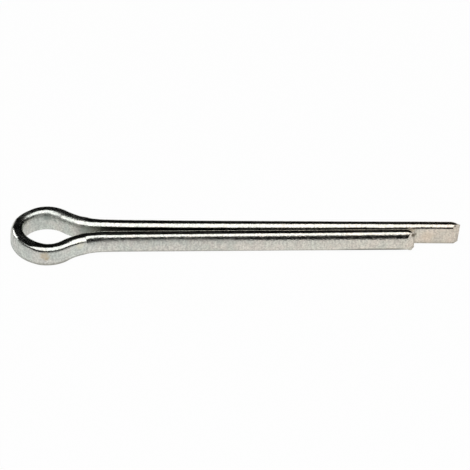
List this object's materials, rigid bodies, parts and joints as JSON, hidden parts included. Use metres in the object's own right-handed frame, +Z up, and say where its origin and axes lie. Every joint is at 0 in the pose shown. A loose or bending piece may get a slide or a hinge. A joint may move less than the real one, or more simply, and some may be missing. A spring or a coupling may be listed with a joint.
{
  "type": "cotter pin",
  "caption": "Split pin bent from one length of flattened wire, with a round eye and two straight legs of unequal length, lying on its side.",
  "frame": {"origin": "middle of the underside of the pin's box, as it lies on its side", "axes": "+X along the pin from the eye to the leg ends, +Y towards the long leg, +Z up through the eye"},
  "size_m": [0.1042, 0.0152, 0.0056],
  "materials": {
    "wire": "zinc-plated steel wire, drawn satin on the flats and bright on the rounded edges"
  },
  "bodies": {
    "root": {"cotter_pin": "wire"}
  },
  "joints": []
}
